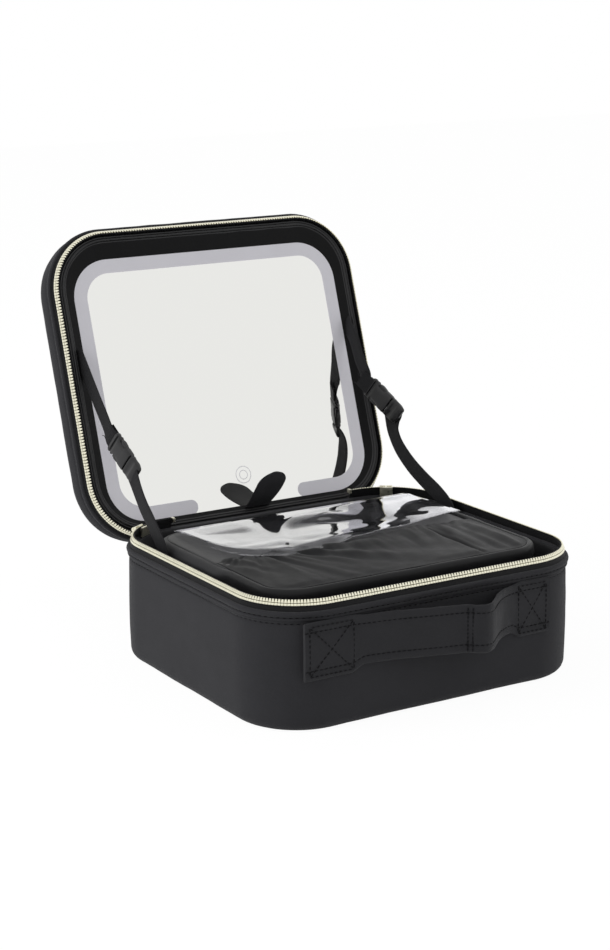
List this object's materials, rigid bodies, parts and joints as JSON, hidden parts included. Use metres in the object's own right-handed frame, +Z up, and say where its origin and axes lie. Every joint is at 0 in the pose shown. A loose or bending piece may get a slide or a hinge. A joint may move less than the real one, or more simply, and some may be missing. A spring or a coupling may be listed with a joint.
{
  "type": "makeup train case",
  "caption": "Soft-sided makeup case with a zip-round lid on a fabric hinge, lit mirror, strap stays, lift-up brush panel, padded dividers and a front carry handle.",
  "frame": {"origin": "on the floor, under the middle of the lower case", "axes": "+Z up, -Y towards the front wall with the handle, +X to the right seen from the front"},
  "size_m": [0.2624, 0.3691, 0.2913],
  "materials": {
    "shell_fabric": "matte woven",
    "lining_fabric": "satin woven",
    "zip_tape": "ribbed tape",
    "webbing": "ribbed webbing",
    "zip_metal": "pale gold plated",
    "buckle_plastic": "moulded satin",
    "mirror_silver": "silvered glass",
    "light_band": "frosted",
    "piping_vinyl": "semi-gloss rolled edge",
    "clear_vinyl": "clear glossy sheet",
    "board_plastic": "pressed sheet",
    "divider_fabric": "padded, brushed loop",
    "circuit": "printed board",
    "lamp": "lamp lens",
    "battery_wrap": "foil wrap",
    "lead_wire": "insulated wire"
  },
  "bodies": {
    "base": {"base_shell": "shell_fabric", "base_board": "board_plastic", "base_lining": "lining_fabric", "base_welt": "shell_fabric", "base_zip_tape": "zip_tape", "base_zip_chain": "zip_metal", "zip_end_stops": "zip_metal", "carry_handle": "shell_fabric", "divider_long_left": "divider_fabric", "divider_long_right": "divider_fabric", "divider_short_front": "divider_fabric", "divider_short_rear": "divider_fabric", "lid_hinge_strip": "shell_fabric", "strap_lower_left": "webbing", "strap_lower_right": "webbing", "panel_hinge_strip": "lining_fabric"},
    "lid": {"lid_shell": "shell_fabric", "lid_welt": "shell_fabric", "lid_piping": "piping_vinyl", "mirror_surround": "lining_fabric", "charging_socket": "buckle_plastic", "mirror_tray": "board_plastic", "mirror_glass": "mirror_silver", "light_diffuser": "light_band", "led_strip": "circuit", "led_chips": "lamp", "touch_pad": "circuit", "control_board": "circuit", "battery_pack": "battery_wrap", "wire_leads": "lead_wire", "lid_zip_tape": "zip_tape", "lid_zip_chain": "zip_metal", "strap_upper_left": "webbing", "strap_upper_right": "webbing", "buckle_socket_left": "buckle_plastic", "buckle_socket_right": "buckle_plastic", "buckle_plug_left": "buckle_plastic", "buckle_plug_right": "buckle_plastic"},
    "brush_panel": {"panel_board": "lining_fabric", "panel_piping": "piping_vinyl", "brush_pocket": "lining_fabric"},
    "cover": {"clear_cover": "clear_vinyl"},
    "tab": {"pull_tab": "webbing"},
    "slider_left": {"zip_slider_left": "zip_metal"},
    "slider_right": {"zip_slider_right": "zip_metal"},
    "pull_left": {"zip_pull_left": "zip_metal"},
    "pull_right": {"zip_pull_right": "zip_metal"}
  },
  "joints": [
    {"name": "lid_hinge", "type": "hinge", "parent": "base", "child": "lid", "pos_m": [0, 0.117, 0.0753], "axis": [-1, 0, 0], "range_deg": [-108.4, 0], "deforming": ["lid_hinge_strip", "strap_lower_left", "strap_lower_right"]},
    {"name": "panel_lift", "type": "hinge", "parent": "base", "child": "brush_panel", "pos_m": [0, -0.0902, 0.079], "axis": [1, 0, 0], "range_deg": [0, 95], "deforming": ["panel_hinge_strip"]},
    {"name": "cover_lift", "type": "hinge", "parent": "brush_panel", "child": "cover", "pos_m": [0, 0.081, 0.089], "axis": [-1, 0, 0], "range_deg": [0, 80]},
    {"name": "tab_fold", "type": "hinge", "parent": "lid", "child": "tab", "pos_m": [0.0085, 0.13761, 0.08151], "axis": [1, 0, 0], "range_deg": [-60.4, 0]},
    {"name": "slider_left_travel", "type": "hinge", "parent": "base", "child": "slider_left", "pos_m": [-0.083, 0.0695, 0.0858], "axis": [0, 0, 1], "range_deg": [-12, 45]},
    {"name": "pull_left_swing", "type": "hinge", "parent": "slider_left", "child": "pull_left", "pos_m": [-0.10928, 0.11156, 0.0863], "axis": [0.848, 0.5299, 0], "range_deg": [0, 110]},
    {"name": "slider_right_travel", "type": "hinge", "parent": "base", "child": "slider_right", "pos_m": [0.083, 0.0695, 0.0858], "axis": [0, 0, -1], "range_deg": [-12, 45]},
    {"name": "pull_right_swing", "type": "hinge", "parent": "slider_right", "child": "pull_right", "pos_m": [0.10928, 0.11156, 0.0863], "axis": [0.848, -0.5299, 0], "range_deg": [0, 110]}
  ],
  "couplings": [
    {"joint": "tab_fold", "follows": "lid_hinge", "ratio": 0.557}
  ]
}
